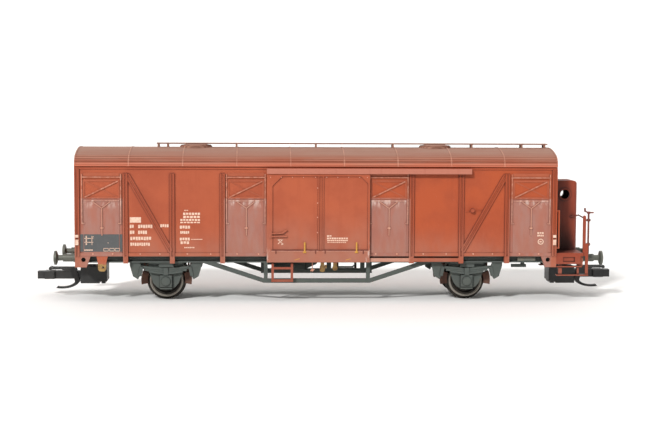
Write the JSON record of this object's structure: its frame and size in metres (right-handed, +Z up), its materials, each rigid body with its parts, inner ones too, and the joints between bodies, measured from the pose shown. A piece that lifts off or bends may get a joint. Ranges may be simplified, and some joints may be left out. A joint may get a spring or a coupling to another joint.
{
  "type": "model railway covered goods wagon",
  "caption": "Two-axle covered goods wagon model with sliding doors, turning wheelsets, swinging couplers and a brakeman's platform.",
  "frame": {"origin": "midway between the coupler tips and between the sides, at the bottom of the wheel flanges", "axes": "+X along the wagon towards the end with the platform, +Z up"},
  "size_m": [0.13, 0.0242, 0.0347],
  "materials": {
    "body_paint": "moulded polystyrene, sprayed brown-red and weathered, satin",
    "door_paint": "moulded polystyrene, sprayed brown-red, satin",
    "hatch_paint": "moulded polystyrene, brown-red with a violet-grey wash",
    "roof_paint": "moulded polystyrene, grey-brown dust over brown-red, matt",
    "platform_paint": "fine moulded plastic, brown-red, satin",
    "wire_paint": "thin wire, dark red-brown paint",
    "underframe_plastic": "moulded plastic, dark grey-green, dusted",
    "brake_shoe_plastic": "moulded plastic, rusty brown",
    "handle_paint": "small yellow-painted fitting",
    "etched_brass": "etched brass, partly painted",
    "buffer_metal": "turned metal, dull dark grey",
    "coupler_plastic": "moulded black plastic",
    "wheel_metal": "turned steel tread, blackened disc",
    "axle_steel": "blackened steel",
    "ballast_steel": "plain steel plate",
    "pale_paint": "pale paint, slightly dirty"
  },
  "bodies": {
    "wagon": {"side_wall_near": "body_paint", "side_wall_far": "body_paint", "end_wall_left": "body_paint", "end_wall_right": "body_paint", "roof": "roof_paint", "roof_walkway": "roof_paint", "roof_hatches": "roof_paint", "floor": "underframe_plastic", "ballast_plate": "ballast_steel", "hatches_near": "hatch_paint", "hatches_far": "hatch_paint", "hatch_levers_near": "body_paint", "hatch_levers_far": "body_paint", "door_rails_near": "body_paint", "door_rails_far": "body_paint", "vent_valves": "body_paint", "solebars": "underframe_plastic", "center_sills": "underframe_plastic", "cross_members": "underframe_plastic", "headstocks": "body_paint", "corner_brackets": "body_paint", "towing_brackets": "etched_brass", "axle_guards_left": "underframe_plastic", "axle_guards_right": "underframe_plastic", "leaf_springs_left": "underframe_plastic", "leaf_springs_right": "underframe_plastic", "brake_shoes_left": "brake_shoe_plastic", "brake_shoes_right": "brake_shoe_plastic", "truss_near": "underframe_plastic", "truss_far": "underframe_plastic", "door_steps": "platform_paint", "brake_rigging": "underframe_plastic", "brake_valves": "etched_brass", "buffers_left": "buffer_metal", "buffers_right": "buffer_metal", "coupler_pocket_left": "coupler_plastic", "coupler_pocket_right": "coupler_plastic", "platform_deck": "platform_paint", "platform_steps": "platform_paint", "platform_posts": "platform_paint", "brake_spindle": "wire_paint", "brakeman_booth": "platform_paint", "grab_rails": "body_paint", "lamp_brackets": "pale_paint"},
    "sliding_door_near": {"sliding_door_near": "door_paint", "door_lock_near": "door_paint", "door_handles_near": "handle_paint"},
    "sliding_door_far": {"sliding_door_far": "door_paint", "door_lock_far": "door_paint", "door_handles_far": "handle_paint"},
    "coupler_left": {"coupler_bar_left": "coupler_plastic"},
    "coupler_right": {"coupler_bar_right": "coupler_plastic"},
    "coupler_loop_left": {"coupler_loop_left": "coupler_plastic"},
    "coupler_loop_right": {"coupler_loop_right": "coupler_plastic"},
    "wheelset_left": {"wheels_left": "wheel_metal", "axle_left": "axle_steel"},
    "wheelset_right": {"wheels_right": "wheel_metal", "axle_right": "axle_steel"}
  },
  "joints": [
    {"name": "wheelset_left_spin", "type": "hinge", "parent": "wagon", "child": "wheelset_left", "pos_m": [-0.03569, 0, 0.00443], "axis": [0, 1, 0], "continuous": true},
    {"name": "wheelset_right_spin", "type": "hinge", "parent": "wagon", "child": "wheelset_right", "pos_m": [0.03098, 0, 0.00443], "axis": [0, 1, 0], "continuous": true},
    {"name": "door_near_slide", "type": "slide", "parent": "wagon", "child": "sliding_door_near", "axis": [1, 0, 0], "range_m": [0, 0.021]},
    {"name": "door_far_slide", "type": "slide", "parent": "wagon", "child": "sliding_door_far", "axis": [-1, 0, 0], "range_m": [0, 0.021]},
    {"name": "coupler_left_swing", "type": "hinge", "parent": "wagon", "child": "coupler_left", "pos_m": [-0.053, 0, 0.0049], "axis": [0, 0, 1], "range_deg": [-10, 10]},
    {"name": "coupler_right_swing", "type": "hinge", "parent": "wagon", "child": "coupler_right", "pos_m": [0.0544, 0, 0.00525], "axis": [0, 0, 1], "range_deg": [-10, 10]},
    {"name": "coupler_left_loop_lift", "type": "hinge", "parent": "coupler_left", "child": "coupler_loop_left", "pos_m": [-0.0566, 0, 0.0049], "axis": [0, 1, 0], "range_deg": [0, 10]},
    {"name": "coupler_right_loop_lift", "type": "hinge", "parent": "coupler_right", "child": "coupler_loop_right", "pos_m": [0.058, 0, 0.00525], "axis": [0, -1, 0], "range_deg": [0, 10]}
  ]
}
